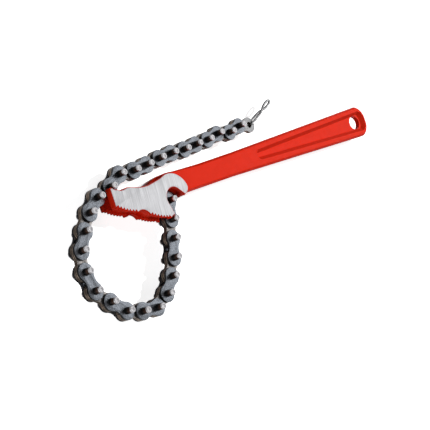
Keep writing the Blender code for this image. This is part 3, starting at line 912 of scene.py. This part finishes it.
class WrenchStageSettings(bpy.types.PropertyGroup):
    """Camera, floor and light."""

    camera_place: FloatVectorProperty(
        name="Camera place",
        description="Where the camera stands",
        default=(-0.81073, 0.00450, 0.70115),
        subtype="TRANSLATION",
        unit="LENGTH",
    )
    camera_turn: FloatVectorProperty(
        name="Camera turn",
        description="How the camera is turned",
        default=tuple(math.radians(angle) for angle in (19.538, -44.181, -28.481)),
        subtype="EULER",
    )
    lens: FloatProperty(
        name="Lens", description="Focal length in millimetres", default=83.72, min=1
    )
    floor_colour: colour("Floor", "Pale floor", (0.9, 0.9, 0.9))
    key_power: FloatProperty(name="Key light", description="Watts", default=500.0, min=0)
    fill_power: FloatProperty(name="Fill light", description="Watts", default=4.5, min=0)
    panel_power: FloatProperty(name="Mirror panel", description="Watts", default=4.6, min=0)
    sky: FloatProperty(name="Sky", description="Strength of the even light", default=0.04, min=0)
    mirrored_sky: FloatProperty(name="Mirrored sky", description="As metal sees it", default=0.3)
    floor_glow: FloatProperty(name="Floor glow", description="Whiteness", default=0.84, min=0)


# Operators


class WRENCH_OT_forging(bpy.types.Operator):
    """Model the forging: head, bar and anchor eye, slotted, toothed and recessed"""

    bl_idname = "wrench.forging"
    bl_label = "Forging"

    def execute(self, context):
        settings = context.scene.wrench_forging
        chain = context.scene.wrench_chain
        notch_radius = chain.lobe_radius + NOTCH_PLAY
        bar = cut_out("bar", [bar_plan(notch_radius)], settings.bar_thickness)
        round_bar(bar, settings)
        rims = set()
        for side in (1, -1):
            plug = self.panel_plug(settings)
            rims |= {self.spot(vertex.co) for vertex in plug.data.vertices}
            place(plug, Matrix.Translation((0, 0, side * (settings.bar_thickness / 2 + MARGIN))))
            boolean(bar, plug, "DIFFERENCE")
        hole_plan = self.hole_plan(settings)
        hole = cut_out("hang_hole", [hole_plan], settings.bar_thickness + MARGIN)
        boolean(bar, hole, "DIFFERENCE")
        soften(bar, rims, settings.panel_rim, 4)
        soften(bar, {self.spot(point) for point in hole_plan}, settings.hole_rim, 3)

        forging = cut_out("forging", [head_plan()], settings.head_thickness, settings.head_round)
        boolean(forging, bar, "UNION")
        width = settings.slot_width
        reach = link_pitch() + notch_radius
        fan = arc((0, 0), reach, *ANCHOR_SLOT_ANGLES, 40)
        inside = arc((0, 0), notch_radius, ANCHOR_SLOT_ANGLES[1] - 360, ANCHOR_SLOT_ANGLES[0], 60)
        boolean(forging, cut_out("anchor_slot", [inside + fan], width), "DIFFERENCE")
        disc = arc(HORN_SLOT_CENTRE, HORN_SLOT_RADIUS, 0, 360, 144)[:-1]
        boolean(forging, cut_out("horn_slot", [disc], width), "DIFFERENCE")
        web = cut_out("web_recess", [web_plan(settings.web_recess)], width)
        boolean(forging, web, "DIFFERENCE")
        for jaw in (LEFT_JAW, RIGHT_JAW):
            plan = teeth_plan(*jaw, settings.teeth, settings.tooth_depth)
            teeth = cut_out("teeth", [plan], settings.head_thickness + MARGIN)
            boolean(forging, teeth, "DIFFERENCE")
        boolean(forging, self.anchor_eye(chain, notch_radius), "UNION")
        clean_up(forging)

        forging.name = forging.data.name = "shown_forging"
        forging.data.materials.clear()
        forging.data.materials.append(forging_material(settings))
        place(forging, Matrix.Translation(ANCHOR))
        shade(forging, FORGING_SMOOTH)
        hand_over(forging, ["handle"])
        return {"FINISHED"}

    def spot(self, point):
        """Rounded place of a point in the plan, which finds it again after a cut."""
        return round(point[0] / WELD), round(point[1] / WELD)

    def panel_plug(self, settings):
        """Cutter for the panel: a plug whose end tapers over the panel's depth."""
        wall = settings.panel_wall
        plug = cut_out("panel", [panel_plan(wall)], 2 * (MARGIN + wall), wall, rings=0)
        end_x = max(vertex.co.x for vertex in plug.data.vertices) - PANEL_CORNER
        for vertex in plug.data.vertices:
            if abs(vertex.co.z) > MARGIN + WELD:
                vertex.co.z = math.copysign(MARGIN + settings.panel_depth, vertex.co.z)
                past = max(0.0, vertex.co.x - end_x) / (PANEL_CORNER - wall)
                vertex.co.x -= PANEL_END_SLOPE * past
        return plug

    def hole_plan(self, settings):
        """Oval of the hang hole."""
        turns = [math.tau * index / HOLE_POINTS for index in range(HOLE_POINTS)]
        return [
            (
                GRIP_END_X - HANG_HOLE_SETBACK + settings.hole_half_length * math.cos(turn),
                HANG_HOLE_Y + settings.hole_half_width * math.sin(turn),
            )
            for turn in turns
        ]

    def anchor_eye(self, chain, notch_radius):
        """Eye in the middle of the hook's web that carries the anchor pin."""
        side = math.degrees(math.asin(EYE_NECK / EYE_RADIUS))
        tip = arc((0, 0), EYE_RADIUS, EYE_WAY + side - 360, EYE_WAY - side, 48)
        root = notch_radius + MARGIN / 3
        spread = math.degrees(math.asin(EYE_NECK / root))
        outline = tip + arc((0, 0), root, EYE_WAY - spread, EYE_WAY + spread, 2)
        bore = arc((0, 0), chain.pin_radius + chain.hole_clearance, 0, 360, 48)[:-1]
        width = 2 * (plate_heights(chain)[2] - chain.plate_gap)
        return cut_out("anchor_eye", [outline, bore], width)


class WRENCH_OT_outer_links(bpy.types.Operator):
    """Model the outer links: near plates with their pins, and far plates"""

    bl_idname = "wrench.outer_links"
    bl_label = "Outer links and pins"

    def execute(self, context):
        settings = context.scene.wrench_chain
        low, high = plate_heights(settings)[2:]
        # The outer plates' walls are painted near-black shade
        steel = plate_material(
            "outer_plate_steel", settings.outer_colour, settings.outer_wall_shade_colour
        )
        pin_surface = pin_material(settings)
        near, far = plate_pair(settings, low, high, steel)
        pins = [pin("pin", settings, 0), pin("next_pin", settings, link_pitch())]
        for piece in pins:
            piece.data.materials.append(pin_surface)
        pick(near, *pins)
        bpy.ops.object.join()
        for piece in (near, far):
            shade(piece, PLATE_SMOOTH)
        numbers = range(1, LINKS, 2)
        masters = (("pinned_plate", near), ("far_plate", far))
        lay_links(masters, numbers)
        return {"FINISHED"}


class WRENCH_OT_inner_links(bpy.types.Operator):
    """Model the inner links, two plates each, and the paler end link"""

    bl_idname = "wrench.inner_links"
    bl_label = "Inner links and end link"

    def execute(self, context):
        settings = context.scene.wrench_chain
        low, high = plate_heights(settings)[:2]
        brown = plate_material(
            "inner_plate_steel", settings.inner_colour, settings.inner_wall_colour
        )
        pale = plate_material("end_link_steel", settings.end_colour, settings.inner_wall_colour)
        for steel, numbers, slot in (
            (brown, range(2, LINKS, 2), "inner_plate_steel"),
            (pale, (LINKS,), "end_link_steel"),
        ):
            near, far = plate_pair(settings, low, high, steel)
            for piece in (near, far):
                shade(piece, PLATE_SMOOTH)
            lay_links((("near_plate", near), ("far_plate", far)), numbers)
        return {"FINISHED"}


class WRENCH_OT_wire_loop(bpy.types.Operator):
    """Model the loop of wire in the end link's free hole"""

    bl_idname = "wrench.wire_loop"
    bl_label = "Wire loop"

    def execute(self, context):
        settings = context.scene.wrench_wire
        curve = bpy.data.curves.new("shown_wire_loop", "CURVE")
        curve.dimensions = "3D"
        curve.bevel_depth = settings.wire_radius
        curve.bevel_resolution = 5
        spline = curve.splines.new("POLY")
        route = self.route(settings, context.scene.wrench_chain)
        spline.points.add(len(route) - 1)
        for point, spot in zip(spline.points, route):
            point.co = (*spot, 1)
        spline.use_cyclic_u = True
        piece = bpy.data.objects.new("shown_wire_loop", curve)
        context.scene.collection.objects.link(piece)
        pick(piece)
        bpy.ops.object.convert(target="MESH")
        piece = context.view_layer.objects.active
        clean_up(piece)
        turn = Matrix.Rotation(math.radians(WIRE_TURN), 4, "Z")
        place(piece, Matrix.Translation(JOINTS["wire_pivot"]["pos_m"]) @ turn)
        piece.data.materials.append(wire_material(settings))
        shade(piece, WIRE_SMOOTH)
        hand_over(piece, ["wire_loop"])
        return {"FINISHED"}

    def leg_height(self, settings, chain):
        """Distance of the legs from the middle plane, beside the end link."""
        return plate_heights(chain)[1] + settings.side_gap + settings.wire_radius

    def leg_point(self, settings, chain, share):
        """Point of the near leg, from the side of the end link to the tip of the eye."""
        reach = settings.loop_length - settings.wire_radius
        x = settings.corner + (reach - settings.corner) * share
        height = self.leg_height(settings, chain)
        lean = math.radians(LEG_LEAN)
        over = settings.wire_radius * LEG_LIFT
        if x < settings.crossing:
            along = (x - settings.corner) / (settings.crossing - settings.corner)
            fade = 1 - smooth(along)
            front = over + (height * math.cos(lean) - over) * fade
            aside = -height * math.sin(lean) * math.cos(math.pi / 2 * along**3)
        else:
            along = (x - settings.crossing) / (reach - settings.crossing)
            closing = math.sqrt(max(0.0, 1 - along))
            front = over * closing
            aside = settings.eye_half_width * EYE_FULLNESS * along**EYE_SKEW * closing
        y = front * math.sin(lean) + aside * math.cos(lean)
        return x, y, front * math.cos(lean) - aside * math.sin(lean)

    def route(self, settings, chain):
        """Closed centre line: through the hole, along the near leg, round the eye and back."""
        height = self.leg_height(settings, chain)
        corner = settings.corner
        near = [(0.0, 0.0, 0.0)]
        near += [
            (corner * (1 - math.cos(turn)), 0.0, height - corner * (1 - math.sin(turn)))
            for turn in (math.pi / 2 * index / 6 for index in range(6))
        ]
        near += [
            self.leg_point(settings, chain, 1 - (1 - index / LEG_POINTS) ** CROWDING)
            for index in range(LEG_POINTS)
        ]
        tip = [(settings.loop_length - settings.wire_radius, 0.0, 0.0)]
        return near + tip + [(x, -y, -z) for x, y, z in reversed(near[1:])]


class WRENCH_OT_stage(bpy.types.Operator):
    """Set up the camera, the pale floor and soft studio light"""

    bl_idname = "wrench.stage"
    bl_label = "Stage"

    def execute(self, context):
        settings = context.scene.wrench_stage
        scene = context.scene
        camera = bpy.data.cameras.new("camera")
        camera.lens = settings.lens
        camera.sensor_width = 36
        camera.clip_start = 0.01
        eye = bpy.data.objects.new("camera", camera)
        eye.location = settings.camera_place
        eye.rotation_euler = settings.camera_turn
        scene.collection.objects.link(eye)
        scene.camera = eye
        scene.view_settings.view_transform = "Standard"
        self.floor(settings)
        key = self.light("key_light", *KEY_LIGHT, settings.key_power)
        key.visible_glossy = False
        panel = self.light("mirror_panel", *MIRROR_PANEL, settings.panel_power)
        panel.visible_diffuse = False
        self.light("fill_light", *FILL_LIGHT, settings.fill_power)
        self.sky(scene, settings)
        return {"FINISHED"}

    def floor(self, settings):
        """Wide pale floor that keeps the wrench's shadow."""
        bpy.ops.object.select_all(action="DESELECT")
        bpy.ops.mesh.primitive_plane_add(size=FLOOR_SIZE, location=(0, 0, FLOOR_Z))
        floor = bpy.context.view_layer.objects.active
        floor.name = "floor"
        made = bpy.data.materials.new("pale_floor")
        made.use_nodes = True
        tree = made.node_tree
        shader = tree.nodes["Principled BSDF"]
        shader.inputs["Base Color"].default_value = (*settings.floor_colour, 1)
        shader.inputs["Roughness"].default_value = 0.9
        shader.inputs["Specular IOR Level"].default_value = 0.0
        shader.inputs["Emission Color"].default_value = (1, 1, 1, 1)
        rays = tree.nodes.new("ShaderNodeLightPath")
        glow = arithmetic(tree, "MULTIPLY", rays.outputs["Is Camera Ray"], settings.floor_glow)
        tree.links.new(glow, shader.inputs["Emission Strength"])
        floor.data.materials.append(made)

    def light(self, name, spot, size, power):
        """Square soft light that points at the wrench."""
        lamp = bpy.data.lights.new(name, "AREA")
        lamp.size = size
        lamp.energy = power
        holder = bpy.data.objects.new(name, lamp)
        holder.location = spot
        way = Vector(spot) - Vector(LIT_POINT)
        holder.rotation_euler = way.to_track_quat("Z", "Y").to_euler()
        bpy.context.scene.collection.objects.link(holder)
        return holder

    def sky(self, scene, settings):
        """Even light from all round, white where the camera or a reflection sees it."""
        world = bpy.data.worlds.new("studio")
        world.use_nodes = True
        tree = world.node_tree
        background = tree.nodes["Background"]
        background.inputs["Color"].default_value = (1, 1, 1, 1)
        rays = tree.nodes.new("ShaderNodeLightPath")
        glossy = between(tree, rays.outputs["Is Glossy Ray"], settings.sky, settings.mirrored_sky)
        strength = arithmetic(tree, "MAXIMUM", rays.outputs["Is Camera Ray"], glossy)
        tree.links.new(strength, background.inputs["Strength"])
        scene.world = world


class WRENCH_PT_panel(bpy.types.Panel):
    """Shows each group of settings with the buttons that model the wrench's pieces"""

    bl_idname = "WRENCH_PT_panel"
    bl_label = "Chain Wrench"
    bl_space_type = "VIEW_3D"
    bl_region_type = "UI"
    bl_category = "Chain Wrench"

    def draw(self, context):
        for group_name, operators in PANEL_ROWS:
            box = self.layout.box()
            settings = getattr(context.scene, group_name)
            for name in settings.__annotations__:
                box.prop(settings, name)
            for operator in operators:
                box.operator(operator)


PANEL_ROWS = (
    ("wrench_forging", ("wrench.forging",)),
    ("wrench_chain", ("wrench.outer_links", "wrench.inner_links")),
    ("wrench_wire", ("wrench.wire_loop",)),
    ("wrench_stage", ("wrench.stage",)),
)
SETTINGS = (
    ("wrench_forging", WrenchForgingSettings),
    ("wrench_chain", WrenchChainSettings),
    ("wrench_wire", WrenchWireSettings),
    ("wrench_stage", WrenchStageSettings),
)
CLASSES = (
    WrenchForgingSettings,
    WrenchChainSettings,
    WrenchWireSettings,
    WrenchStageSettings,
    WRENCH_OT_forging,
    WRENCH_OT_outer_links,
    WRENCH_OT_inner_links,
    WRENCH_OT_wire_loop,
    WRENCH_OT_stage,
    WRENCH_PT_panel,
)


def register():
    for item in CLASSES:
        bpy.utils.register_class(item)
    for name, item in SETTINGS:
        setattr(bpy.types.Scene, name, PointerProperty(type=item))


def unregister():
    for name, _ in SETTINGS:
        delattr(bpy.types.Scene, name)
    for item in reversed(CLASSES):
        bpy.utils.unregister_class(item)


def main():
    register()
    bpy.ops.wrench.forging()
    bpy.ops.wrench.outer_links()
    bpy.ops.wrench.inner_links()
    bpy.ops.wrench.wire_loop()
    bpy.ops.wrench.stage()


if __name__ == "__main__":
    main()
